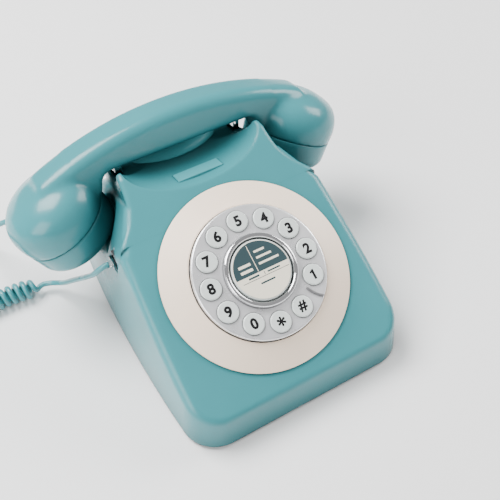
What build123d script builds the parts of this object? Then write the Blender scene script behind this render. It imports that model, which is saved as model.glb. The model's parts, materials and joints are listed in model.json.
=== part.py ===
from build123d import *
import math
import os

os.makedirs("parts", exist_ok=True)

# A push-button desk telephone in the style of a dial telephone.
# Millimetres, +Z up, X to the right and -Y to the front as a user sits before it.
# The origin is on the table, under the middle of the case.

# ---------------------------------------------------------------- driving dimensions
case_front = -104.0
case_rear = 104.0
case_foot = 2.5
wall = 2.6
side_draft = 4.9

face_tilt = 30.0
dial_y = -42.0
dial_z = 59.4

neck_half_width = 50.3
crest_y = 31.6
cradle_y = 59.5
cradle_bottom = 85.0
rear_crest_top = 97.0

surround_radius = 59.4
surround_height = 7.4
plate_radius = 41.66
plate_top = 10.5
plate_thickness = 1.8
bezel_radius = 22.66
bezel_bore = 19.6
bezel_top = 14.2
key_circle_radius = 32.4
key_radius = 6.5
key_top = 11.86
key_hole_gap = 0.35
first_key_angle = -28.7
key_step_angle = 29.3
key_names = ["1", "2", "3", "4", "5", "6", "7", "8", "9", "0", "star", "hash"]
redial_radius = 18.5
redial_top = 13.5

plunger_x = 42.5
plunger_y = 58.4
plunger_top = 96.2
plunger_width = 4.4
plunger_depth = 9.0
slot_gap = 0.35

handset_shift = -1.5
seam_x = 83.0
seam_y = 52.0
seam_z = 69.9
seam_radius = 30.3
bell_tilt = 26.3
handset_lean = 11.4

tilt = math.radians(face_tilt)
face_plane = Plane(
    origin=(0, dial_y, dial_z),
    x_dir=(1, 0, 0),
    z_dir=(0, -math.sin(tilt), math.cos(tilt)),
)


def face_z(y):
    """Height of the sloping face's plane above the table at y."""
    return dial_z + (y - dial_y) * math.tan(tilt)


def on_face(x, v, h):
    """A place on the sloping face: x across, v up the slope and h above it."""
    return face_plane * Pos(x, v, h)


def turned(points):
    """A solid turned about Z from a closed outline of radius and height."""
    return revolve(Plane.XZ * make_face(Polyline(*points, close=True)), axis=Axis.Z)


def disc(radius, low, high):
    """A plain disc between two heights."""
    return Pos(0, 0, low) * Cylinder(radius, high - low, align=(Align.CENTER, Align.CENTER, Align.MIN))


def block(x_size, y_size, low, high):
    """A rectangular block between two heights."""
    return Pos(0, 0, low) * Box(x_size, y_size, high - low, align=(Align.CENTER, Align.CENTER, Align.MIN))


def joined(shapes):
    """Several shapes as one node."""
    return Compound(children=[solid for shape in shapes for solid in shape.solids()])


def save(node, shape):
    """Write one node of the assembly."""
    export_step(shape, f"parts/{node}.step")


# ---------------------------------------------------------------- case form
side_middle = (76.3, -37.0)
side_front_x = 73.8
side_rear_x = 65.1
front_corner_radius = 22.0
rear_corner_radius = 24.0

roof_start = (18.0, 94.0)
roof_saddle = (62.5, 71.5)
roof_back = (88.0, 55.5)
roof_tail = (103.0, 20.0)

shoulder_point = (55.0, 15.2, 92.4)
shoulder_slope_out = 2.05
shoulder_slope_back = 0.67

body_edge_radius = 6.0
neck_edge_radius = 2.5


def plan_outline(inset):
    """The case's plan at its foot: bowed sides and round corners."""
    right_side = ThreePointArc(
        (side_front_x, case_front), side_middle, (side_rear_x, case_rear)
    )
    left_side = mirror(right_side, about=Plane.YZ)
    front = Line(left_side @ 0, right_side @ 0)
    rear = Line(right_side @ 1, left_side @ 1)
    outline = make_face([front, right_side, rear, left_side])
    corners = outline.vertices().sort_by(Axis.Y)
    outline = fillet(corners[0:2], front_corner_radius)
    corners = outline.vertices().filter_by(lambda v: v.Y > case_rear - 0.1)
    outline = fillet(corners, rear_corner_radius)
    if inset:
        outline = offset(outline, -inset)
    return outline


def body_block(inset):
    """The case's plan, drawn in towards the top like a moulding."""
    return extrude(Pos(0, 0, case_foot) * plan_outline(inset), amount=115, taper=side_draft)


def side_prism(profile, inset, half_width):
    """A profile in the Y-Z plane, pulled in by inset and made solid across the case."""
    if inset:
        profile = offset(profile, -inset)
    return extrude(profile, amount=half_width, both=True)


def body_profile():
    """Side view of the case without its neck: front slope, roof and rounded back."""
    low_front = -130.0
    points = [
        (low_front, -40),
        (low_front, face_z(low_front)),
        roof_start,
        roof_saddle,
    ]
    lines = Polyline(*points)
    back = ThreePointArc(roof_saddle, roof_back, roof_tail)
    close = Polyline(roof_tail, (106, -40), (low_front, -40))
    return Plane.YZ * make_face(lines + back + close)


def cut_shoulders(body, inset):
    """The body under the two planes that fall outwards and backwards beside the neck."""
    for side in (1, -1):
        normal = Vector(side * shoulder_slope_out, shoulder_slope_back, 1).normalized()
        x, y, z = shoulder_point
        origin = Vector(side * x, y, z) - normal * inset
        body = split(body, bisect_by=Plane(origin=origin, z_dir=normal), keep=Keep.BOTTOM)
    return body


def neck_outline(inset):
    """Plan of the neck that carries the horns: it flares into the shoulders in front."""
    side = [(68, -2), (62.6, 4.8), (57.1, 10.5), (53.4, 16.5), (51.4, 24), (neck_half_width, 34)]
    tail = [(49.0, 43), (47.4, 54), (46.2, 64), (44.8, 74), (42.5, 83), (38.0, 90)]
    half = Spline([(x - inset, y) for x, y in side + tail])
    other = mirror(half, about=Plane.YZ)
    front = Line(half @ 0, other @ 0)
    back = Line(half @ 1, other @ 1)
    return make_face(half + other + front + back)


def neck_profile():
    """Side view of the neck: sloping face, front crest, cradle and rear crest."""
    lines = Polyline(
        (-10, 40), (-10, face_z(-10)), (crest_y, face_z(crest_y)), (38.2, 102.8), (39.2, 99.0)
    )
    cradle = ThreePointArc((39.2, 99.0), (cradle_y, cradle_bottom), (79.8, 95.0))
    rear = Polyline((79.8, 95.0), (81.5, rear_crest_top), (85.5, rear_crest_top), (92, 40), (-10, 40))
    return Plane.YZ * make_face(lines + cradle + rear)


scoop_centre = (78.0, 104.4)
scoop_half_width = 47.0
scoop_half_depth = 16.7
scoop_slope = 12.0
scoop_length = 25.0
scoop_end_radius = 4.0


def scoop_form(grow):
    """The dished hollow between the horns, with a deeper finger pocket under the handle."""
    y, z = scoop_centre
    y = y + dial_y
    axis = Vector(0, math.cos(math.radians(scoop_slope)), -math.sin(math.radians(scoop_slope)))
    start = Vector(0, y, z) - axis * 60
    plane = Plane(origin=start, x_dir=(1, 0, 0), z_dir=axis)
    ring = Ellipse(scoop_half_width + grow, scoop_half_depth + grow)
    channel = extrude(plane * ring, amount=60 + scoop_length + grow)
    end = channel.edges().sort_by(Axis.Y)[-1:]
    channel = fillet(end, scoop_end_radius + grow)
    pocket = Pos(0, 64, 93) * ellipsoid(34 + grow, 13.5 + grow, 19 + grow)
    return channel + pocket


def ellipsoid(a, b, c):
    """A solid ellipsoid with half-axes a, b and c along X, Y and Z."""
    ball = Sphere(1)
    return scale(ball, by=(a, b, c))


def case_form(inset):
    """The closed outer form of the case, pulled in on every side by inset."""
    body = body_block(inset) & side_prism(body_profile(), inset, 90)
    body = cut_shoulders(body, inset)
    neck_block = extrude(Pos(0, 0, 30) * neck_outline(1.15 * inset), amount=80)
    neck = neck_block & side_prism(neck_profile(), inset, 75)
    if inset:
        return body + neck
    body = fillet(body.edges().filter_by(lambda e: e.center().Z > 12), body_edge_radius)
    rims = neck.edges().filter_by(lambda e: e.center().Z > 80 and e.center().Y > 2)
    return body + fillet(rims, neck_edge_radius)


# ---------------------------------------------------------------- handset form
handle_half_width = 13.5
handle_top = 51.9
handle_top_radius = 225.0
handle_under = 27.6
handle_end_x = 93.0
handle_edge_radius = 7.0
handle_under_radius = 3.0
handle_corner_x = 47.0
handle_corner_radius = 8.0
bell_height = 30.0
handset_wall = 2.4
cap_depth = 20.0
cap_clearance = 1.6


def handset_place():
    """The place of the handset on its cradle: leaning a little towards the user."""
    return Pos(handset_shift, seam_y, seam_z) * Rot(-handset_lean, 0, 0)


def bell_place(side):
    """The seam circle of one bell, its Z pointing up into the bell; side is -1 or 1."""
    return handset_place() * Pos(side * seam_x, 0, 0) * Rot(0, side * bell_tilt, 0)


def bell_form(inset):
    """A drum that swells a little above its seam and closes in a flat dome."""
    r = seam_radius - inset
    top = bell_height - inset
    wall_line = Spline(
        (r, 0), (r + 0.6, 9), (r - 1.2, 17.5), (r - 6.8, 24.3 - inset), (r - 17, top - 1.2), (0, top),
        tangents=[(0.1, 1), (-1, 0)],
    )
    dome = revolve(Plane.XZ * make_face(wall_line + Polyline((0, top), (0, 0), (r, 0))), axis=Axis.Z)
    if inset:
        return dome + disc(r, -inset, 0)
    return dome


def handle_outline():
    """Front view of the bar between the bells, with an arched top and a level underside."""
    drop = handle_top_radius - math.sqrt(handle_top_radius**2 - handle_end_x**2)
    end_z = handle_top - drop
    top = ThreePointArc((-handle_end_x, end_z), (0, handle_top), (handle_end_x, end_z))
    r = handle_corner_radius
    bend = r * math.sin(math.radians(45))
    corner_end = (handle_corner_x + r, handle_under - r)
    corner_middle = (handle_corner_x + bend, handle_under - r + bend)
    corner = ThreePointArc((handle_corner_x, handle_under), corner_middle, corner_end)
    end = Polyline(corner_end, (57.5, 15.5), (handle_end_x, 0), (handle_end_x, end_z))
    half = corner + end
    under = Line((-handle_corner_x, handle_under), (handle_corner_x, handle_under))
    return make_face(top + half + mirror(half, about=Plane.YZ) + under)


def handle_form(inset):
    """The arched bar between the bells; its underside sweeps down into them."""
    outline = handle_outline()
    if inset:
        outline = offset(outline, -inset)
    bar = extrude(Plane.XZ * outline, amount=handle_half_width - inset, both=True)
    upper = [e for e in bar.edges() if e.length > 100 and e.center().Z > 40]
    bar = fillet(upper, handle_edge_radius - inset)
    if inset:
        return bar
    lower = [e for e in bar.edges() if 80 < e.length < 100 and e.center().Z < 30]
    return fillet(lower, handle_under_radius)


def handset_form(inset):
    """The closed form of the handset above its two seams, pulled in by inset."""
    form = handset_place() * handle_form(inset)
    for side in (-1, 1):
        form = form + bell_place(side) * bell_form(inset)
    return form


def cap_path(side, grow):
    """The upright column in which one cap rests and lifts, above a floor that slopes like its end."""
    lean_in = math.cos(math.radians(bell_tilt))
    seam = Ellipse(seam_radius * lean_in + grow, seam_radius + grow)
    low_depth = 15.0
    low_radius = seam_radius - 1.8
    low = Ellipse(low_radius * lean_in + grow, low_radius + grow)
    low_x = seam_x - low_depth * math.sin(math.radians(bell_tilt))
    low_y = -low_depth * lean_in * math.sin(math.radians(handset_lean))
    plan = Pos(side * seam_x, 0, 0) * seam + Pos(side * low_x, low_y, 0) * low
    column = Pos(handset_shift, seam_y, 0) * extrude(plan, amount=130)
    floor = Plane(bell_place(side) * Pos(0, 0, -cap_depth - grow))
    return split(column, bisect_by=floor, keep=Keep.TOP)


# ---------------------------------------------------------------- case and what closes it
face_hole_radius = 53.0
boss_radius = 4.0
screw_radius = 1.45
screw_places = [(-60, -80), (60, -80), (-50, 84), (50, 84)]
foot_places = [(-46, -88), (46, -88), (-36, 88), (36, 88)]
plate_top_z = 5.0
board_z = 14.2
board_size = (92.0, 54.0)
board_y = 48.0
board_thickness = 1.6
board_screw_places = [(x, board_y + y) for x in (-41, 41) for y in (-22, 22)]

badge_size = (31.0, 9.4, 2.4)
badge_place = Pos(0, 27.4, 89.4) * Rot(-scoop_slope, 0, 0)

handset_socket_place = Pos(-61.5, 8.4, 63.5)
handset_port = (7.9, 6.9)
line_socket_z = 21.8
line_port = (9.9, 7.0)

switch_x = 30.0
switch_z = 17.5
switch_travel = 4.0
rear_wall_y = 102.6


def face_wall_hole():
    """The round hole in the sloping face that the dial group drops into."""
    return face_plane * disc(face_hole_radius, -14, 6)


def rear_openings():
    """Openings in the rear wall for the line socket and the two slide switches."""
    cuts = Pos(0, 99, line_socket_z) * Box(14.2, 16, 12.4)
    for side in (-1, 1):
        cuts = cuts + Pos(side * switch_x, rear_wall_y, switch_z) * Box(9.4, 8, 4.8)
    return cuts


def side_opening():
    """Opening in the left wall for the handset cord's socket."""
    return handset_socket_place * Pos(-8, 0, 0) * Box(22, 11.4, 9.4)


def plunger_slots():
    """The two slots in the floor of the cradle."""
    hole = block(plunger_width + 2 * slot_gap, plunger_depth + 2 * slot_gap, 60, 110)
    return Pos(-plunger_x, plunger_y, 0) * hole + Pos(plunger_x, plunger_y, 0) * hole


def screw_bosses(outer):
    """Pillars that come down from the top of the shell for the four case screws."""
    return [outer & Pos(x, y, 0) * disc(boss_radius, plate_top_z, 110) for x, y in screw_places]


def make_case_shell():
    outer = case_form(0)
    shell = outer - case_form(wall)
    shell = shell + (scoop_form(wall) & outer)
    shell = shell - scoop_form(0)
    for side in (-1, 1):
        shell = shell + (cap_path(side, cap_clearance + wall) & outer)
        shell = shell - cap_path(side, cap_clearance)
    for boss in screw_bosses(outer):
        shell = shell + boss
    shell = shell - face_wall_hole()
    shell = shell - rear_openings()
    shell = shell - side_opening()
    shell = shell - plunger_slots()
    shell = shell - badge_place * Box(badge_size[0] + 0.2, badge_size[1] + 0.2, badge_size[2] + 0.2)
    for x, y in screw_places:
        shell = shell - Pos(x, y, 0) * disc(screw_radius + 0.05, 0, 14)
    return shell


def make_base_plate():
    plate = extrude(Pos(0, 0, case_foot) * plan_outline(wall + 0.4), amount=plate_top_z - case_foot)
    for x, y in board_screw_places:
        plate = plate + Pos(x, y, 0) * disc(3.5, plate_top_z, board_z)
        plate = plate - Pos(x, y, 0) * disc(1.05, plate_top_z + 1, board_z)
    for x, y in screw_places:
        plate = plate - Pos(x, y, 0) * disc(1.7, 0, plate_top_z)
    for step in range(-3, 4):
        plate = plate - Pos(step * 5.0, ringer_y, case_foot) * Box(2.2, 26, 10)
    return plate


def make_feet():
    foot = fillet(disc(7.0, 0, case_foot).edges().sort_by(Axis.Z)[0:1], 0.8)
    return joined([Pos(x, y, 0) * foot for x, y in foot_places])


def make_case_screws():
    head = fillet(disc(3.0, 0.9, case_foot).edges().sort_by(Axis.Z)[0:1], 0.8)
    screw = head + disc(screw_radius, case_foot, 13)
    return joined([Pos(x, y, 0) * screw for x, y in screw_places])


def make_badge():
    badge = Box(*badge_size)
    badge = fillet(badge.edges().filter_by(Axis.Z), 0.8)
    badge = chamfer(badge.edges().group_by(Axis.Z)[-1], 0.3)
    return badge_place * badge


# ---------------------------------------------------------------- dial group
frame_low = 2.4
frame_high = 4.4
board_low = -2.5
board_high = -0.9
membrane_high = 0.1
retainer_low = -7.0
retainer_high = -5.0
post_circle_radius = 24.0
post_angles = [45, 135, 225, 315]
redial_flange_high = 5.4


def ring_place(radius, angle):
    """A place on the dial at a radius and an angle from its X axis."""
    return Pos(radius * math.cos(math.radians(angle)), radius * math.sin(math.radians(angle)), 0)


def key_angle(number):
    return first_key_angle + key_step_angle * number


def make_dial_surround():
    """The cream ring: a shallow cone with an inner lip and a skirt through the face."""
    ring = turned([
        (surround_radius, 0), (surround_radius, 1.3), (43.2, surround_height), (42.2, surround_height),
        (42.2, 4.6), (50.7, 1.5), (50.7, retainer_high), (52.7, retainer_high), (52.7, 0),
    ])
    rims = [e for e in ring.edges() if abs(e.center().Z - surround_height) < 0.01]
    return face_plane * fillet(rims, 0.45)


def make_dial_plate():
    """The finger plate: twelve holes for keys and one for the centre button."""
    inner = plate_radius - 1.76
    plate = turned([
        (0, plate_top - plate_thickness), (inner, plate_top - plate_thickness), (inner, retainer_high),
        (plate_radius, retainer_high), (plate_radius, plate_top), (0, plate_top),
    ])
    rim = [e for e in plate.edges() if abs(e.center().Z - plate_top) < 0.01]
    plate = fillet(rim, 1.2)
    plate = plate - disc(21.0, 0, 20)
    for number in range(12):
        hole = disc(key_radius + key_hole_gap, 0, 20)
        plate = plate - ring_place(key_circle_radius, key_angle(number)) * hole
    return face_plane * plate


def make_centre_bezel():
    ring = turned([
        (bezel_bore, 5.5), (20.9, 5.5), (20.9, plate_top), (bezel_radius, plate_top),
        (bezel_radius, bezel_top), (bezel_bore, bezel_top),
    ])
    top = [e for e in ring.edges() if abs(e.center().Z - bezel_top) < 0.01]
    return face_plane * fillet(top, 1.4)


def make_key(number):
    """A key: domed cap, retaining flange and stem."""
    cap = disc(key_radius, 8.6, key_top)
    cap = fillet(cap.edges().sort_by(Axis.Z)[-1:], 0.8)
    key = cap + disc(7.1, 7.2, 8.6) + disc(3.5, 1.8, 7.2)
    return face_plane * ring_place(key_circle_radius, key_angle(number)) * key


def make_redial_button():
    cap = disc(redial_radius, redial_flange_high, redial_top)
    cap = fillet(cap.edges().sort_by(Axis.Z)[-1:], 0.6)
    return face_plane * (cap + disc(20.6, 3.9, redial_flange_high) + disc(4.0, 1.8, 3.9))


def make_keypad_frame():
    """Guide plate under the finger plate, with a rim and four posts."""
    frame = disc(39.6, frame_low, frame_high) - disc(21.5, 0, 6)
    frame = frame + (disc(39.6, membrane_high, frame_low) - disc(37.6, membrane_high, frame_low))
    for angle in post_angles:
        frame = frame + ring_place(post_circle_radius, angle) * disc(2.2, retainer_high, frame_high)
        frame = frame - ring_place(post_circle_radius, angle) * disc(1.25, retainer_high, 0)
    for number in range(12):
        frame = frame - ring_place(key_circle_radius, key_angle(number)) * disc(3.8, 0, 6)
    return face_plane * frame


def make_keypad_membrane():
    """Rubber sheet with one dome under each key, drawn as low as a pressed key makes it."""
    sheet = disc(39.0, board_high, membrane_high)
    for number in range(12):
        sheet = sheet + ring_place(key_circle_radius, key_angle(number)) * disc(3.6, 0, 0.5)
    for angle in post_angles:
        sheet = sheet - ring_place(post_circle_radius, angle) * disc(2.6, -2, 1)
    return face_plane * sheet


def make_keypad_board():
    board = disc(39.4, board_low, board_high)
    for angle in post_angles:
        board = board - ring_place(post_circle_radius, angle) * disc(2.6, -4, 1)
    return face_plane * board


def make_dial_retainer():
    """Disc that clamps the dial group to the face from behind."""
    cup = turned([
        (10, retainer_low), (57, retainer_low), (57, -wall - 0.1), (53.6, -wall - 0.1),
        (53.6, retainer_high), (10, retainer_high),
    ])
    for angle in post_angles:
        cup = cup - ring_place(post_circle_radius, angle) * disc(1.35, -10, 0)
    return face_plane * cup


def make_keypad_screws():
    screws = []
    for angle in post_angles:
        screw = disc(2.4, retainer_low - 1.8, retainer_low) + disc(1.2, retainer_low, -1.0)
        screws.append(face_plane * ring_place(post_circle_radius, angle) * screw)
    return joined(screws)


def make_finger_stop():
    """The curved stop between the hash and the one, a low blade on the finger plate."""
    curve = Spline((20.9, -21.1), (22.6, -24.1), (24.9, -26.9), (28.2, -29.5))
    return on_face(0, 0, plate_top) * extrude(trace(curve, 0.9), amount=1.1)


# ---------------------------------------------------------------- electrics
ringer_y = -62.0


def make_main_board():
    board = Pos(0, board_y, 0) * block(*board_size, board_z, board_z + board_thickness)
    for x, y in board_screw_places:
        board = board - Pos(x, y, 0) * disc(1.3, 0, 30)
    return board


def make_board_parts():
    """The larger components on the main board, each its own solid."""
    top = board_z + board_thickness
    shapes = [
        Pos(-22, 44, 0) * block(16, 16, top, top + 2.2),
        Pos(6, 42, 0) * block(9, 12, top, top + 2.0),
        Pos(26, 40, 0) * block(20, 10, top, top + 11),
        Pos(-36, 60, 0) * disc(5.0, top, top + 13),
        Pos(-22, 57, 0) * disc(4.0, top, top + 11),
        Pos(36, 57, 0) * disc(4.0, top, top + 11),
        Pos(0, 24.5, 0) * block(22, 5, top, top + 5.5),
    ]
    return joined(shapes)


def make_board_screws():
    top = board_z + board_thickness
    screw = disc(2.4, top, top + 1.5) + disc(1.0, 8, top)
    return joined([Pos(x, y, 0) * screw for x, y in board_screw_places])


def make_ringer_speaker():
    """A small ringer: paper cone face down, basket and magnet."""
    low = plate_top_z
    ringer = turned([
        (0, low + 2.0), (4, low + 0.8), (16, low + 1.6), (17, low), (20, low), (20, low + 2.2),
        (13, low + 7.0), (11.5, low + 7.0), (11.5, low + 12.5), (0, low + 12.5),
    ])
    return Pos(0, ringer_y, 0) * ringer


def make_ringer_clip():
    """A bent strap that holds the ringer down on the base plate."""
    low = plate_top_z
    high = plate_top_z + 12.6
    span = Pos(0, 0, high) * Box(48, 8, 1.2, align=(Align.CENTER, Align.CENTER, Align.MIN))
    clip = span
    for side in (-1, 1):
        clip = clip + Pos(side * 23.4, 0, 0) * block(1.2, 8, low, high + 1.2)
        clip = clip + Pos(side * 26.4, 0, 0) * block(7.2, 8, low, low + 1.2)
    return Pos(0, ringer_y, 0) * clip


def make_ballast():
    weight = Pos(0, -6, 0) * block(80, 44, plate_top_z, plate_top_z + 4)
    return chamfer(weight.edges().group_by(Axis.Z)[-1], 1.0)


def make_ribbon_cable():
    """Flat cable from the back of the keypad board to the main board's front edge."""
    route = [(-40.7, 57.15), (-33.0, 43.8), (-8.0, 30.0), (10.0, 19.5), (21.8, 19.5)]
    path = Plane.YZ * FilletPolyline(*route, radius=6)
    start = Plane(origin=path @ 0, x_dir=(1, 0, 0), z_dir=path % 0)
    return sweep(start * Rectangle(16, 0.9), path=path)


def make_handset_socket():
    """Small socket for the handset cord, set in the left wall of the case."""
    body = Box(15, 11, 9)
    port = Pos(-4, 0, 0) * Box(11, *handset_port)
    tail = Pos(9, 0, -1.5) * Box(3, 11, 6)
    return handset_socket_place * (body - port + tail)


def make_line_socket():
    """Socket for the line cord, behind an opening in the rear wall."""
    body = Pos(0, 92.4, line_socket_z) * Box(13.8, 19, 12)
    port = Pos(0, 96.4, line_socket_z) * Box(line_port[0], 12, line_port[1])
    latch = Pos(0, 96.4, line_socket_z - line_port[1] / 2 - 0.9) * Box(3.2, 12, 1.8)
    pins = Pos(0, 78.0, 0) * block(10, 9.8, board_z + board_thickness, line_socket_z)
    return body - port - latch + pins


def make_slide_knob(side):
    """Knob of a rear slide switch with its tongue behind the wall."""
    knob = Pos(0, 1.6, 0) * Box(4.8, 4.4, 4.0)
    knob = fillet(knob.edges().filter_by(Axis.Z), 0.5)
    tongue = Pos(0, -2.2, 0) * Box(3.0, 5.4, 2.6)
    return Pos(side * switch_x - switch_travel / 2, rear_wall_y - 1.2, switch_z) * (knob + tongue)


def make_slide_switch_bodies():
    bodies = []
    for side in (-1, 1):
        body = Box(16, 5.6, 8.0)
        track = Pos(0, 0.9, 0) * Box(9.6, 5.6, 3.4)
        bodies.append(Pos(side * switch_x, 95.6, switch_z) * (body - track))
    return joined(bodies)


# ---------------------------------------------------------------- hook
bar_low = 58.0
bar_high = 63.0
bracket_y = 66.4
spring_seat = 40.0


def make_hook_plungers():
    """Two clear blades with rounded tops that stand up through the cradle."""
    blades = []
    for side in (-1, 1):
        blade = block(plunger_width, plunger_depth, bar_high, plunger_top)
        top = blade.edges().group_by(Axis.Z)[-1].filter_by(Axis.X)
        blade = fillet(top, 3.6)
        blades.append(Pos(side * plunger_x, plunger_y, 0) * blade)
    return joined(blades)


def make_hook_bar():
    bar = Pos(0, plunger_y, 0) * block(86, plunger_depth, bar_low, bar_high)
    pin = Pos(0, plunger_y, 0) * disc(2.6, bar_low - 3, bar_low)
    return bar + pin


def make_hook_bracket():
    """Upright on the main board that guides the bar and seats its spring."""
    top = board_z + board_thickness
    upright = Pos(0, bracket_y, 0) * block(56, 2, top, 69)
    ledge = Pos(0, plunger_y + 1, 0) * block(16, 14, spring_seat - 2, spring_seat)
    foot = Pos(0, bracket_y - 4, 0) * block(30, 8, top, top + 1.5)
    return upright + ledge + foot


def make_hook_spring():
    """Coil spring under the middle of the bar."""
    turns = Helix(pitch=3.0, height=bar_low - spring_seat - 1.2, radius=4.2)
    wire = sweep(Plane(origin=turns @ 0, z_dir=turns % 0) * Circle(0.4), path=turns)
    return Pos(0, plunger_y, spring_seat + 0.6) * wire


def make_hook_switch():
    """Small lever switch on the bracket, worked by the bar."""
    body = Pos(18, bracket_y - 4.2, 48) * Box(20, 6.4, 10)
    lever = Pos(14, bracket_y - 4.2, 55.4) * Rot(0, 9, 0) * Box(18, 4, 0.5)
    hinge = Pos(22, bracket_y - 4.2, 54.0) * Box(2, 4, 3.0)
    return body + hinge + lever


# ---------------------------------------------------------------- handset pieces
jack_angle = 135.0
jack_height = 10.0


def make_handset_shell():
    shell = handset_form(0) - handset_form(handset_wall)
    return shell - bell_place(-1) * jack_opening()


def jack_opening():
    """The way through the left bell's wall for the cord's socket."""
    return Rot(0, 0, jack_angle) * Pos(28, 0, jack_height) * Box(16, 9.2, 8.2)


def make_cap(mouth):
    """A cap with a groove along its seam, a spigot that enters the bell and holes in its end."""
    r = seam_radius
    spigot = r - handset_wall - 0.3
    d = cap_depth
    outline = Polyline((spigot, 0), (r - 0.5, 0), (r, -0.5), (r - 0.7, 9 - d))
    outline = outline + ThreePointArc((r - 0.7, 9 - d), (r - 3.0, 3.2 - d), (r - 8, -d))
    outline = outline + Polyline((r - 8, -d), (14, 0.6 - d), (0, 1.2 - d), (0, 3.8 - d), (19.5, 2.8 - d))
    outline = outline + Polyline((19.5, 2.8 - d), (25.2, 6 - d), (26.6, 10 - d), (spigot - 2.2, 0))
    outline = outline + Polyline((spigot - 2.2, 0), (spigot - 2.2, 5), (spigot, 5), (spigot, 0))
    cap = revolve(Plane.XZ * make_face(outline), axis=Axis.Z)
    rings = [(0, 1), (4.5, 6), (9.0, 12)]
    if mouth:
        rings = [(0, 1), (5.5, 8)]
    for radius, count in rings:
        for step in range(count):
            hole = disc(1.1, -d - 1, 5 - d)
            cap = cap - ring_place(radius, 360 * step / count) * hole
    return cap


def make_receiver():
    """Receiver capsule behind the ear cap's holes."""
    low = 3.9 - cap_depth
    return turned([(0, low), (18.8, low), (18.8, low + 7), (12, low + 7), (12, low + 11), (0, low + 11)])


def make_mic_boot():
    low = 3.9 - cap_depth
    return turned([(5.1, low), (11, low), (9.5, low + 7), (5.1, low + 7)])


def make_microphone():
    return disc(5.0, 3.9 - cap_depth, 10.5 - cap_depth)


def make_handset_weight():
    weight = Box(60, 14, 7)
    return handset_place() * Pos(0, 0, 35.5) * chamfer(weight.edges(), 0.8)


def make_handset_jack():
    """Socket for the cord, set in the left bell's wall."""
    body = Pos(25.2, 0, 0) * Box(10, 9, 8)
    port = Pos(26.6, 0, 0) * Box(9, 7.5, 6.5)
    return Rot(0, 0, jack_angle) * Pos(0, 0, jack_height) * (body - port)


def make_handset_wires():
    """Wires from the socket along the handle to the receiver."""
    route = [(-74, 16), (-58, 37), (-30, 44.5), (30, 44.5), (60, 36), (73, 6)]
    path = Plane.XZ * FilletPolyline(*route, radius=8)
    return handset_place() * sweep(Plane(origin=path @ 0, z_dir=path % 0) * Circle(1.1), path=path)


# ---------------------------------------------------------------- handset cord
wire_radius = 1.8
coil_radius = 7.0
coil_z = 7.2

lead_route = [
    (-73.6, 8.4, 63.5),
    (-78.2, 8.4, 63.5),
    (-82.0, 12.0, 56.5),
    (-84.5, 20.0, 47.5),
    (-88.0, 31.0, 36.5),
    (-91.5, 42.5, 24.5),
    (-94.5, 52.5, 14.0),
    (-98.0, 60.0, 8.6),
    (-102.0, 63.6, coil_z),
    (-105.5, 64.6, coil_z),
]
coil_route = [
    (-105.5, 64.6, coil_z),
    (-121, 66.8, coil_z),
    (-140, 67.5, coil_z),
    (-158, 65, coil_z),
    (-178, 68, coil_z),
    (-195, 80, coil_z),
    (-202, 99, coil_z),
    (-195, 118, coil_z),
    (-178, 130, coil_z),
    (-158, 133, coil_z),
    (-141, 130, coil_z),
]
tail_route = [
    (-140.6, 129.9, coil_z),
    (-133.5, 128.4, 8.0),
    (-128.0, 121.5, 13.5),
    (-126.5, 112.0, 24.0),
    (-125.0, 100.0, 37.5),
    (-121.5, 88.5, 51.0),
    (-115.2, 79.9, 60.2),
    (-111.44, 76.18, 62.82),
]


def corner_radii(route):
    """The largest even radius for each corner: 0.45 of the shorter run over tan(half the turn)."""
    radii = []
    for before, here, after in zip(route, route[1:], route[2:]):
        first = Vector(*here) - Vector(*before)
        second = Vector(*after) - Vector(*here)
        half_turn = math.radians(first.get_angle(second)) / 2
        radii.append(0.45 * min(first.length, second.length) / math.tan(half_turn))
    return radii


def tube(route, radius):
    """A round tube of straight runs joined by tangent arcs."""
    path = FilletPolyline(*route, radius=corner_radii(route))
    return sweep(Plane(origin=path @ 0, z_dir=path % 0) * Circle(radius), path=path)


def make_base_plug():
    """Clear plug in the case's socket, with the stub that the lead comes out of."""
    body = Pos(-6.25, 0, 0) * Box(7.5, 7.4, 6.2)
    stub = Pos(-9.9, 0, 0) * Rot(0, -90, 0) * disc(2.4, 0, 2.2)
    return handset_socket_place * (body + stub)


def make_handset_plug():
    """Clear plug in the handset's socket, with its stub."""
    body = Pos(28.0, 0, 0) * Box(10.0, 7.0, 6.0)
    stub = Pos(32.9, 0, 0) * Rot(0, 90, 0) * disc(2.4, 0, 2.6)
    return Rot(0, 0, jack_angle) * Pos(0, 0, jack_height) * (body + stub)


# ---------------------------------------------------------------- the nodes
ear_side = 1
mouth_side = -1

save("case_shell", make_case_shell())
save("base_plate", make_base_plate())
save("rubber_feet", make_feet())
save("case_screws", make_case_screws())
save("badge_plate", make_badge())
save("ballast_weight", make_ballast())

save("dial_surround", make_dial_surround())
save("dial_plate", make_dial_plate())
save("centre_bezel", make_centre_bezel())
save("finger_stop", make_finger_stop())
save("keypad_frame", make_keypad_frame())
save("keypad_membrane", make_keypad_membrane())
save("keypad_board", make_keypad_board())
save("dial_retainer", make_dial_retainer())
save("keypad_screws", make_keypad_screws())
save("redial_button", make_redial_button())
save("redial_label", face_plane * disc(17.6, redial_top, redial_top + 0.3))
for number, name in enumerate(key_names):
    save(f"key_{name}", make_key(number))

save("main_board", make_main_board())
save("board_parts", make_board_parts())
save("board_screws", make_board_screws())
save("ringer_speaker", make_ringer_speaker())
save("ringer_clip", make_ringer_clip())
save("ribbon_cable", make_ribbon_cable())
save("handset_socket", make_handset_socket())
save("line_socket", make_line_socket())
save("ringer_switch", make_slide_knob(-1))
save("tone_switch", make_slide_knob(1))
save("slide_switch_bodies", make_slide_switch_bodies())

save("hook_plungers", make_hook_plungers())
save("hook_bar", make_hook_bar())
save("hook_bracket", make_hook_bracket())
save("hook_spring", make_hook_spring())
save("hook_switch", make_hook_switch())

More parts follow.
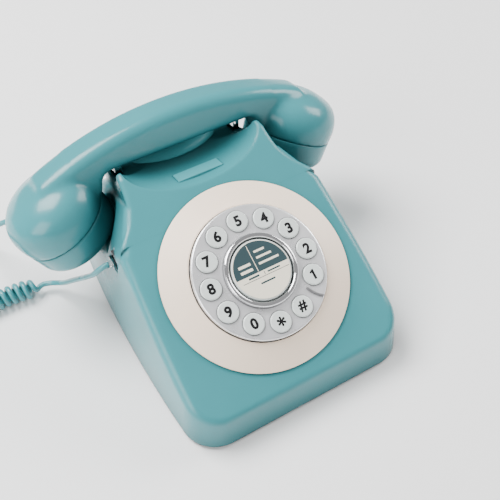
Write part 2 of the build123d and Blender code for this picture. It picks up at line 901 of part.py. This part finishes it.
save("handset_shell", make_handset_shell())
save("ear_cap", bell_place(ear_side) * make_cap(False))
save("mouth_cap", bell_place(mouth_side) * make_cap(True))
save("earpiece_receiver", bell_place(ear_side) * make_receiver())
save("microphone", bell_place(mouth_side) * make_microphone())
save("mic_boot", bell_place(mouth_side) * make_mic_boot())
save("handset_weight", make_handset_weight())
save("handset_jack", bell_place(mouth_side) * make_handset_jack())
save("handset_wires", make_handset_wires())

save("base_plug", make_base_plug())
save("base_lead", tube(lead_route, wire_radius))
save("curly_cord", tube(coil_route, coil_radius))
save("handset_lead", tube(tail_route, wire_radius))
save("handset_plug", bell_place(mouth_side) * make_handset_plug())

for name, route in (("base_lead", lead_route), ("curly_cord", coil_route), ("handset_lead", tail_route)):
    print(name, "bend radii", [round(radius, 1) for radius in corner_radii(route)])
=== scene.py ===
import json
import math

import bmesh
import bpy
from mathutils import Matrix, Vector


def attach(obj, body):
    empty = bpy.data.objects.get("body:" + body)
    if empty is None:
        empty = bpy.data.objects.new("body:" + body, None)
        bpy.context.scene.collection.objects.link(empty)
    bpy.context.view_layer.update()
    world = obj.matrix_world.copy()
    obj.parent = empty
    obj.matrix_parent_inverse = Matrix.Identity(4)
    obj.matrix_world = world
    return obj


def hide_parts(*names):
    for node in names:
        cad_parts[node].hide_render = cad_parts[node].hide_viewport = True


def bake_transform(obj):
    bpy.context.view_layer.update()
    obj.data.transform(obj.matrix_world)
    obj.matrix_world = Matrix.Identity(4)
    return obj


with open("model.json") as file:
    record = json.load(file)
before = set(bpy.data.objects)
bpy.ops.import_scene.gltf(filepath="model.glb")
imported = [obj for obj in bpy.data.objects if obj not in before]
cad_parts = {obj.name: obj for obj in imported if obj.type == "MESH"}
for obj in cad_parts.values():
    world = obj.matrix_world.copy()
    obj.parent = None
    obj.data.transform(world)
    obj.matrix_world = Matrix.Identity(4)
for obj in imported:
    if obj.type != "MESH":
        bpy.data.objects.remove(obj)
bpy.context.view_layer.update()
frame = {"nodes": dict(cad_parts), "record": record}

NODES = frame["nodes"]

# ------------------------------------------------------------------ places, in metres
FACE_TILT = math.radians(30)
DIAL_CENTRE = Vector((0.0, -0.042, 0.0594))
FACE = Matrix.Translation(DIAL_CENTRE) @ Matrix.Rotation(FACE_TILT, 4, "X")
KEY_CIRCLE = 0.0324
KEY_TOP = 0.01186
FIRST_KEY = -28.7
KEY_STEP = 29.3
KEYS = [("1", "1"), ("2", "2"), ("3", "3"), ("4", "4"), ("5", "5"), ("6", "6"), ("7", "7"),
        ("8", "8"), ("9", "9"), ("0", "0"), ("star", "*"), ("hash", "#")]
LABEL_TOP = 0.0138
LABEL_RADIUS = 0.0174
DARK_EDGE = -0.0008
PRINT = 0.00004
MM = 0.001
DIGIT_SIZE = 0.0086
DIGIT_WEIGHT = 0.0004
STAR_SIZE = 0.0120
SIGN_WEIGHT = 0.00032

# The camera stands before the telephone, to its left, and looks down at it.
CAMERA_AZIMUTH = math.radians(-29.71)
CAMERA_ELEVATION = math.radians(48.06)
CAMERA_ROLL = math.radians(-1.41)
CAMERA_PLACE = Vector((-0.1558, -0.3084, 0.4251))
CAMERA_LENS = 57.31
CAMERA_SENSOR = 36
LIT_POINT = Vector((0, 0, 0.05))


# ------------------------------------------------------------------ materials
def new_material(name):
    """A material with its Principled shader and its node tree."""
    material = bpy.data.materials.new(name)
    material.use_nodes = True
    shader = material.node_tree.nodes["Principled BSDF"]
    return material, shader, material.node_tree


def noise(tree, scale, detail=3.0):
    """Noise over the object's own coordinates."""
    place = tree.nodes.new("ShaderNodeTexCoord")
    texture = tree.nodes.new("ShaderNodeTexNoise")
    texture.inputs["Scale"].default_value = scale
    texture.inputs["Detail"].default_value = detail
    texture.inputs["Roughness"].default_value = 0.5
    tree.links.new(place.outputs["Object"], texture.inputs["Vector"])
    return texture


def vary_colour(tree, shader, scale, dark, light):
    """A slow change between two near colours."""
    texture = noise(tree, scale)
    ramp = tree.nodes.new("ShaderNodeValToRGB")
    ramp.color_ramp.elements[0].position = 0.3
    ramp.color_ramp.elements[1].position = 0.7
    ramp.color_ramp.elements[0].color = (*dark, 1)
    ramp.color_ramp.elements[1].color = (*light, 1)
    tree.links.new(texture.outputs["Fac"], ramp.inputs["Fac"])
    tree.links.new(ramp.outputs["Color"], shader.inputs["Base Color"])


def vary_roughness(tree, shader, scale, low, high):
    """Roughness that changes a little from place to place, as handled plastic does."""
    texture = noise(tree, scale, 4.0)
    spread = tree.nodes.new("ShaderNodeMapRange")
    spread.inputs["From Min"].default_value = 0.3
    spread.inputs["From Max"].default_value = 0.7
    spread.inputs["To Min"].default_value = low
    spread.inputs["To Max"].default_value = high
    tree.links.new(texture.outputs["Fac"], spread.inputs["Value"])
    tree.links.new(spread.outputs["Result"], shader.inputs["Roughness"])


def add_bump(tree, shader, scale, strength, distance):
    """A fine uneven surface."""
    texture = noise(tree, scale, 2.0)
    bump = tree.nodes.new("ShaderNodeBump")
    bump.inputs["Strength"].default_value = strength
    bump.inputs["Distance"].default_value = distance
    tree.links.new(texture.outputs["Fac"], bump.inputs["Height"])
    tree.links.new(bump.outputs["Normal"], shader.inputs["Normal"])


def soften_edges(tree, shader, radius):
    """Rounds the look of tight edges, under the surface's own bump."""
    soft = tree.nodes.new("ShaderNodeBevel")
    soft.samples = 6
    soft.inputs["Radius"].default_value = radius
    bump = shader.inputs["Normal"].links[0].from_node
    tree.links.new(soft.outputs["Normal"], bump.inputs["Normal"])


def openness(tree, distance):
    """How open the surface is, with nothing else within the distance: 1 in the open, 0 in a gap."""
    nearby = tree.nodes.new("ShaderNodeAmbientOcclusion")
    nearby.samples = 8
    nearby.inputs["Distance"].default_value = distance
    return nearby.outputs["AO"]


def paint_corner_shade(tree, shader, distance, least):
    """Paints shade into the colour: darkens it where another surface stands close by."""
    nearby = openness(tree, distance)
    spread = tree.nodes.new("ShaderNodeMapRange")
    spread.inputs["From Min"].default_value = 0.45
    spread.inputs["From Max"].default_value = 0.95
    spread.inputs["To Min"].default_value = least
    mix = tree.nodes.new("ShaderNodeMix")
    mix.data_type = "RGBA"
    mix.blend_type = "MULTIPLY"
    mix.inputs[0].default_value = 1.0
    plain = shader.inputs["Base Color"].links[0].from_socket
    tree.links.new(nearby, spread.inputs["Value"])
    tree.links.new(plain, mix.inputs[6])
    tree.links.new(spread.outputs["Result"], mix.inputs[7])
    tree.links.new(mix.outputs[2], shader.inputs["Base Color"])


def dull_corners(tree, shader, distance):
    """Lets a glossy surface reflect less where another surface hides the room from it."""
    nearby = openness(tree, distance)
    for name in ("Specular IOR Level", "Coat Weight"):
        spread = tree.nodes.new("ShaderNodeMapRange")
        spread.inputs["From Min"].default_value = 0.35
        spread.inputs["From Max"].default_value = 0.9
        spread.inputs["To Max"].default_value = shader.inputs[name].default_value
        tree.links.new(nearby, spread.inputs["Value"])
        tree.links.new(spread.outputs["Result"], shader.inputs[name])


def shades(colour, spread):
    """Two colours a little darker and lighter than the given one."""
    return [c * (1 - spread) for c in colour], [c * (1 + spread) for c in colour]


def plastic(
    name, colour, low, high, coat=0.0, spread=0.04, grain=400, depth=0.00002, strength=0.1, edge=0.0,
    shine=0.5, corner_shade=0.0
):
    """Moulded plastic: near-even colour, uneven roughness and a fine surface; with corner_shade set,
    painted shade darkens the colour and the reflection dulls near other surfaces.
    """
    material, shader, tree = new_material(name)
    vary_colour(tree, shader, 18, *shades(colour, spread))
    vary_roughness(tree, shader, 35, low, high)
    add_bump(tree, shader, grain, strength, depth)
    if edge:
        soften_edges(tree, shader, edge)
    shader.inputs["Specular IOR Level"].default_value = shine
    shader.inputs["Coat Weight"].default_value = coat
    shader.inputs["Coat Roughness"].default_value = 0.06
    # Painted shade: the colour darkens, and the reflection dulls, where other surfaces stand close.
    if corner_shade:
        dull_corners(tree, shader, corner_shade)
        paint_corner_shade(tree, shader, corner_shade, 0.45)
    return material


def metal(name, colour, low, high, brushed=0.0, corner_shade=0.0, plating=1.0):
    """Plated or bare metal, with fine handling marks in its roughness; with corner_shade set, painted shade
    darkens the colour where other surfaces stand close.
    """
    material, shader, tree = new_material(name)
    vary_colour(tree, shader, 60, *shades(colour, 0.03))
    vary_roughness(tree, shader, 90, low, high)
    add_bump(tree, shader, 900, 0.05 + brushed, 0.00001)
    # Painted shade: the colour darkens where other surfaces stand close.
    if corner_shade:
        paint_corner_shade(tree, shader, corner_shade, 0.12)
    shader.inputs["Metallic"].default_value = plating
    return material


def clear(name):
    """Clear acrylic with faint moulding ripples."""
    material, shader, tree = new_material(name)
    shader.inputs["Base Color"].default_value = (0.95, 0.98, 0.98, 1)
    shader.inputs["Transmission Weight"].default_value = 1.0
    shader.inputs["IOR"].default_value = 1.49
    vary_roughness(tree, shader, 120, 0.02, 0.08)
    add_bump(tree, shader, 220, 0.12, 0.0001)
    return material


TEAL = (0.042, 0.235, 0.262)
MATERIALS = {
    # The teal gets painted shade: its colour darkens, and its reflection dulls, where another surface
    # stands within 3 cm, as near the handset's bells and in the neck.
    "teal_gloss": plastic(
        "teal_gloss", TEAL, 0.20, 0.27, coat=0.12, spread=0.03, depth=0.00001, edge=0.003, shine=0.35,
        corner_shade=0.03
    ),
    "cream_plastic": plastic("cream_plastic", (0.97, 0.80, 0.64), 0.34, 0.42, grain=700),
    # The plate gets painted shade: its colour darkens within about 1 mm of each key, a dark rim round the
    # keys.
    "silver_plate": metal("silver_plate", (0.95, 0.95, 0.97), 0.24, 0.36, corner_shade=0.0011, plating=0.7),
    "chrome": metal("chrome", (0.80, 0.80, 0.82), 0.04, 0.10),
    "key_plastic": plastic("key_plastic", (0.66, 0.71, 0.69), 0.16, 0.24, coat=0.4, spread=0.03),
    "label_print": plastic("label_print", (0.86, 0.80, 0.66), 0.20, 0.26, coat=0.1, spread=0.02),
    "clear_plastic": clear("clear_plastic"),
    "black_plastic": plastic("black_plastic", (0.018, 0.018, 0.019), 0.35, 0.5, grain=1500, strength=0.4),
    "white_plastic": plastic("white_plastic", (0.72, 0.72, 0.70), 0.35, 0.45),
    "grey_rubber": plastic("grey_rubber", (0.16, 0.165, 0.17), 0.6, 0.75, strength=0.3),
    "rubber": plastic("rubber", (0.02, 0.02, 0.02), 0.65, 0.85, grain=1200, strength=0.4),
    "board_green": plastic("board_green", (0.02, 0.14, 0.05), 0.25, 0.35, coat=0.3),
    "steel": metal("steel", (0.50, 0.50, 0.50), 0.28, 0.42, brushed=0.1),
    "cord_teal": plastic("cord_teal", (0.045, 0.26, 0.29), 0.22, 0.32, coat=0.2, grain=900),
    "slate_print": plastic("slate_print", (0.031, 0.058, 0.066), 0.22, 0.28, coat=0.1, spread=0.05),
    # The badge's teal is lighter than the case's: painted light for the light its raised top catches.
    "lit_badge_teal": plastic("lit_badge_teal", (0.060, 0.285, 0.315), 0.14, 0.20, coat=0.2, spread=0.02),
    "ink": plastic("ink", (0.006, 0.006, 0.007), 0.5, 0.6, shine=0.2),
}

for entry in frame["record"]["subparts"]:
    mesh = NODES[entry["node"]].data
    mesh.materials.clear()
    mesh.materials.append(MATERIALS[entry["material_slot"]])

# The badge plate gets the lighter teal, painted light on its raised top.
badge = NODES["badge_plate"].data.materials
badge.clear()
badge.append(MATERIALS["lit_badge_teal"])


def finish_piece(piece, material, body):
    """Gives a new piece its material and the body that it rides on."""
    piece.data.materials.clear()
    piece.data.materials.append(MATERIALS[material])
    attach(piece, body)


def mesh_object(name, bm, smooth=True):
    """A new object from a bmesh, which it frees."""
    mesh = bpy.data.meshes.new(name)
    bm.to_mesh(mesh)
    bm.free()
    for face in mesh.polygons:
        face.use_smooth = smooth
    piece = bpy.data.objects.new(name, mesh)
    bpy.context.scene.collection.objects.link(piece)
    return piece


# ------------------------------------------------------------------ floor, lights and camera
def make_floor():
    """A plain pale floor."""
    bm = bmesh.new()
    reach = 3.0
    corners = [(-reach, -reach, 0), (reach, -reach, 0), (reach, reach, 0), (-reach, reach, 0)]
    bm.faces.new([bm.verts.new(c) for c in corners])
    floor = mesh_object("floor", bm, smooth=False)
    material, shader, tree = new_material("floor")
    vary_colour(tree, shader, 2, (0.88, 0.88, 0.88), (0.90, 0.90, 0.90))
    shader.inputs["Roughness"].default_value = 0.8
    floor.data.materials.append(material)


def add_light(name, place, size, power):
    """A square soft light that faces the telephone."""
    lamp = bpy.data.lights.new(name, "AREA")
    lamp.shape = "RECTANGLE"
    lamp.size = size
    lamp.size_y = size
    lamp.energy = power
    light = bpy.data.objects.new(name, lamp)
    light.location = place
    aim = LIT_POINT - Vector(place)
    light.rotation_euler = aim.to_track_quat("-Z", "Y").to_euler()
    bpy.context.scene.collection.objects.link(light)


def make_lights():
    """An even white room and three soft lights."""
    world = bpy.data.worlds.new("studio")
    world.use_nodes = True
    background = world.node_tree.nodes["Background"]
    background.inputs["Color"].default_value = (1, 1, 1, 1)
    background.inputs["Strength"].default_value = 0.42
    bpy.context.scene.world = world
    add_light("key", (-0.45, 0.60, 1.20), 0.8, 44)
    add_light("fill", (-1.00, -0.35, 0.55), 0.7, 10)
    add_light("side", (1.10, -0.10, 0.75), 0.6, 13)


def make_camera():
    """The camera, turned by its azimuth, elevation and roll."""
    back = Vector((
        math.sin(CAMERA_AZIMUTH) * math.cos(CAMERA_ELEVATION),
        -math.cos(CAMERA_AZIMUTH) * math.cos(CAMERA_ELEVATION),
        math.sin(CAMERA_ELEVATION),
    ))
    right = Vector((0, 0, 1)).cross(back).normalized()
    up = back.cross(right)
    turned_right = math.cos(CAMERA_ROLL) * right + math.sin(CAMERA_ROLL) * up
    turned_up = -math.sin(CAMERA_ROLL) * right + math.cos(CAMERA_ROLL) * up
    turn = Matrix((turned_right, turned_up, back)).transposed().to_4x4()
    lens = bpy.data.cameras.new("camera")
    lens.sensor_width = CAMERA_SENSOR
    lens.lens = CAMERA_LENS
    camera = bpy.data.objects.new("camera", lens)
    camera.matrix_world = Matrix.Translation(CAMERA_PLACE) @ turn
    bpy.context.scene.collection.objects.link(camera)
    bpy.context.scene.camera = camera


make_floor()
make_lights()
make_camera()


# ------------------------------------------------------------------ handset cord
WIRE = 0.0036
WIRE_SIDES = 12
WIRE_STEP = 0.0006
HELIX_RADIUS = 0.0052
HELIX_PITCH = 0.0049
HELIX_ENDS = 2.5
HELIX_STEPS = 26
COIL_Z = 0.0072
LEAD_ROUTE = [
    (-0.0736, 0.0084, 0.0635), (-0.0782, 0.0084, 0.0635), (-0.0820, 0.0120, 0.0565),
    (-0.0845, 0.0200, 0.0475), (-0.0880, 0.0310, 0.0365), (-0.0915, 0.0425, 0.0245),
    (-0.0945, 0.0525, 0.0140), (-0.0980, 0.0600, 0.0086), (-0.1020, 0.0636, COIL_Z),
    (-0.1055, 0.0646, COIL_Z),
]
COIL_ROUTE = [
    (-0.1055, 0.0646, COIL_Z), (-0.121, 0.0668, COIL_Z), (-0.140, 0.0675, COIL_Z),
    (-0.158, 0.065, COIL_Z), (-0.178, 0.068, COIL_Z), (-0.195, 0.080, COIL_Z),
    (-0.202, 0.099, COIL_Z), (-0.195, 0.118, COIL_Z), (-0.178, 0.130, COIL_Z),
    (-0.158, 0.133, COIL_Z), (-0.141, 0.130, COIL_Z),
]
TAIL_ROUTE = [
    (-0.1406, 0.1299, COIL_Z), (-0.1335, 0.1284, 0.0080), (-0.1280, 0.1215, 0.0135),
    (-0.1265, 0.1120, 0.0240), (-0.1250, 0.1000, 0.0375), (-0.1215, 0.0885, 0.0510),
    (-0.1152, 0.0799, 0.0602), (-0.11144, 0.07618, 0.06282),
]


def nurbs_line(name, points, steps):
    """Points along the smooth line that has the given control points."""
    curve = bpy.data.curves.new(name, "CURVE")
    curve.dimensions = "3D"
    spline = curve.splines.new("NURBS")
    spline.points.add(len(points) - 1)
    for point, place in zip(spline.points, points):
        point.co = (*place, 1)
    spline.order_u = 3
    spline.use_endpoint_u = True
    spline.resolution_u = steps
    holder = bpy.data.objects.new(name, curve)
    bpy.context.scene.collection.objects.link(holder)
    bpy.context.view_layer.update()
    mesh = bpy.data.meshes.new_from_object(holder)
    line = [vertex.co.copy() for vertex in mesh.vertices]
    bpy.data.objects.remove(holder)
    bpy.data.curves.remove(curve)
    bpy.data.meshes.remove(mesh)
    return line


def line_length(line):
    """The length of a line of points."""
    return sum((b - a).length for a, b in zip(line, line[1:]))


def even_points(line, gap):
    """The same line with its points about gap apart."""
    total = line_length(line)
    count = max(2, round(total / gap))
    points = [line[0].copy()]
    walked, wanted = 0.0, total / count
    for a, b in zip(line, line[1:]):
        run = (b - a).length
        while walked + run >= wanted * len(points) - 1e-9 and len(points) < count:
            points.append(a.lerp(b, (wanted * len(points) - walked) / run))
        walked += run
    points.append(line[-1].copy())
    return points


def helix_along(line):
    """The wire's own line round a centreline: it winds out at one end and back in at the other."""
    points = even_points(line, HELIX_PITCH / HELIX_STEPS)
    total = len(points) - 1
    up = Vector((0, 0, 1))
    angle = 0.0
    wire = []
    for i, point in enumerate(points):
        along = (points[min(i + 1, total)] - points[max(i - 1, 0)]).normalized()
        side = up.cross(along).normalized()
        lift = along.cross(side)
        share = min(1.0, min(i, total - i) / HELIX_STEPS / HELIX_ENDS)
        share = share * share * (3 - 2 * share)
        radius = HELIX_RADIUS * share
        angle += 2 * math.pi / HELIX_STEPS * share
        wire.append(point + radius * (math.sin(angle) * side - math.cos(angle) * lift))
    return wire


def tube_mesh(name, line, radius, sides):
    """A closed round tube along a line, with its rings kept from twisting."""
    bm = bmesh.new()
    rings = []
    across = None
    last = len(line) - 1
    for i, point in enumerate(line):
        along = (line[min(i + 1, last)] - line[max(i - 1, 0)]).normalized()
        if across is None:
            across = along.orthogonal().normalized()
        across = (across - along * across.dot(along)).normalized()
        other = along.cross(across)
        ring = []
        for k in range(sides):
            angle = 2 * math.pi * k / sides
            offset = math.cos(angle) * across + math.sin(angle) * other
            ring.append(bm.verts.new(point + radius * offset))
        rings.append(ring)
    for low, high in zip(rings, rings[1:]):
        for k in range(sides):
            bm.faces.new([low[k], low[(k + 1) % sides], high[(k + 1) % sides], high[k]])
    bm.faces.new(list(reversed(rings[0])))
    bm.faces.new(rings[-1])
    return mesh_object(name, bm)


def make_cord():
    """One wire: a lead down from the case's socket, the coil on the table, and a tail up to the handset."""
    lead = even_points(nurbs_line("lead_line", LEAD_ROUTE, 24), WIRE_STEP)
    coil = helix_along(nurbs_line("coil_line", COIL_ROUTE, 40))
    tail = even_points(nurbs_line("tail_line", TAIL_ROUTE, 24), WIRE_STEP)
    line = lead[:-1] + coil + tail[1:]
    cord = tube_mesh("handset_cord", line, WIRE / 2, WIRE_SIDES)
    cord.data.materials.append(MATERIALS["cord_teal"])
    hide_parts("base_lead", "curly_cord", "handset_lead")
    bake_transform(cord)


make_cord()


# ------------------------------------------------------------------ handset shell
HANDSET_MIDDLE = -0.0015
HANDLE_END_NEAR = 0.070
HANDLE_END_FAR = 0.112
HANDLE_END_LOW = 0.082


def smooth_points(bm, points, times):
    """Moves points towards their neighbours' middle, again and again."""
    for _ in range(times):
        bmesh.ops.smooth_vert(
            bm, verts=points, factor=0.5, use_axis_x=True, use_axis_y=True, use_axis_z=True
        )


def make_handset_look():
    """The handset shell with its handle blended softly into both bells."""
    holder = bpy.data.objects.new("handset_look_source", NODES["handset_shell"].data.copy())
    bpy.context.scene.collection.objects.link(holder)
    remesh = holder.modifiers.new("even_mesh", "REMESH")
    remesh.mode = "VOXEL"
    remesh.voxel_size = 0.0009
    bpy.context.view_layer.update()
    even = holder.evaluated_get(bpy.context.evaluated_depsgraph_get())
    mesh = bpy.data.meshes.new_from_object(even)
    bpy.data.objects.remove(holder)
    bm = bmesh.new()
    bm.from_mesh(mesh)
    bpy.data.meshes.remove(mesh)
    smooth_points(bm, bm.verts, 3)
    ends = [
        v for v in bm.verts
        if HANDLE_END_NEAR < abs(v.co.x - HANDSET_MIDDLE) < HANDLE_END_FAR and v.co.z > HANDLE_END_LOW
    ]
    smooth_points(bm, ends, 40)
    look = mesh_object("handset_look", bm)
    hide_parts("handset_shell")
    finish_piece(look, "teal_gloss", "handset")


make_handset_look()


# ------------------------------------------------------------------ print on the keys
def text_piece(name, word, size, weight, place, body):
    """A printed character: thin, bold ink on a flat top."""
    font = bpy.data.curves.new(name, "FONT")
    font.body = word
    font.size = size
    font.bevel_depth = weight
    font.bevel_resolution = 0
    font.align_x = "CENTER"
    font.align_y = "CENTER"
    holder = bpy.data.objects.new(name, font)
    bpy.context.scene.collection.objects.link(holder)
    bpy.context.view_layer.update()
    mesh = bpy.data.meshes.new_from_object(holder)
    bpy.data.objects.remove(holder)
    bpy.data.curves.remove(font)
    low = [min(v.co[i] for v in mesh.vertices) for i in range(2)]
    high = [max(v.co[i] for v in mesh.vertices) for i in range(2)]
    middle = Vector(((low[0] + high[0]) / 2, (low[1] + high[1]) / 2, 0))
    flatten = Matrix.Diagonal((1, 1, PRINT / 2 / weight, 1))
    mesh.transform(place @ flatten @ Matrix.Translation(-middle))
    mesh.name = name
    piece = bpy.data.objects.new(name, mesh)
    bpy.context.scene.collection.objects.link(piece)
    finish_piece(piece, "ink", body)


def flat_piece(name, outline, low, material, body="redial"):
    """A thin slab with a drawn outline on the sloping face."""
    bm = bmesh.new()
    bottom = [bm.verts.new((x, y, low)) for x, y in outline]
    top = [bm.verts.new((x, y, low + PRINT)) for x, y in outline]
    bm.faces.new(list(reversed(bottom)))
    bm.faces.new(top)
    count = len(outline)
    for i in range(count):
        bm.faces.new([bottom[i], bottom[(i + 1) % count], top[(i + 1) % count], top[i]])
    bmesh.ops.transform(bm, matrix=FACE, verts=bm.verts)
    finish_piece(mesh_object(name, bm, smooth=False), material, body)


# The digit one, in millimetres about its key's middle.
ONE = [(-2.1, 1.7), (0.0, 3.2), (0.95, 3.2), (0.95, -3.2), (-0.6, -3.2), (-0.6, 1.5), (-1.35, 0.75)]


def make_key_print():
    """A digit, star or hash on each key."""
    for number, (node, word) in enumerate(KEYS):
        angle = math.radians(FIRST_KEY + KEY_STEP * number)
        across = KEY_CIRCLE * math.cos(angle)
        upward = KEY_CIRCLE * math.sin(angle)
        if word == "1":
            outline = [(across + MM * x, upward + MM * y) for x, y in ONE]
            flat_piece("print_1", outline, KEY_TOP, "ink", "key_1")
            continue
        place = FACE @ Matrix.Translation((across, upward, KEY_TOP + PRINT / 2))
        size = STAR_SIZE if word == "*" else DIGIT_SIZE
        weight = SIGN_WEIGHT if word in "*#" else DIGIT_WEIGHT
        text_piece(f"print_{node}", word, size, weight, place, f"key_{node}")


def print_bars(name, bars, low, material):
    """Plain bars on the centre disc, each given by its middle, width and height in millimetres."""
    for index, (x, y, width, height) in enumerate(bars):
        left, right = MM * (x - width / 2), MM * (x + width / 2)
        bottom, top = MM * (y - height / 2), MM * (y + height / 2)
        outline = [(left, bottom), (right, bottom), (right, top), (left, top)]
        flat_piece(f"{name}_{index}", outline, low, material)


def make_label():
    """Generic print on the centre disc: a dark upper half with plain bars, and two rules."""
    start = math.asin(DARK_EDGE / LABEL_RADIUS)
    arc = [start + (math.pi - 2 * start) * i / 64 for i in range(65)]
    dark = [(LABEL_RADIUS * math.cos(a), LABEL_RADIUS * math.sin(a)) for a in arc]
    flat_piece("label_dark", dark, LABEL_TOP, "slate_print")
    light_bars = [
        (-2.5, 8.0, 0.35, 16.6), (-9.0, 5.6, 8.0, 1.7), (-9.0, 2.2, 8.0, 1.7),
        (3.6, 11.2, 7.0, 1.3), (5.0, 7.4, 10.0, 1.3), (6.6, 3.6, 13.4, 1.3),
    ]
    dark_bars = [
        (1.0, -4.2, 31.0, 0.32), (-6.6, -2.5, 7.0, 1.1), (0.6, -2.5, 0.35, 2.2),
        (6.8, -2.5, 8.4, 0.9), (0.4, -7.6, 9.6, 1.0),
    ]
    print_bars("label_light", light_bars, LABEL_TOP + PRINT, "label_print")
    print_bars("label_rule", dark_bars, LABEL_TOP, "slate_print")


make_key_print()
make_label()
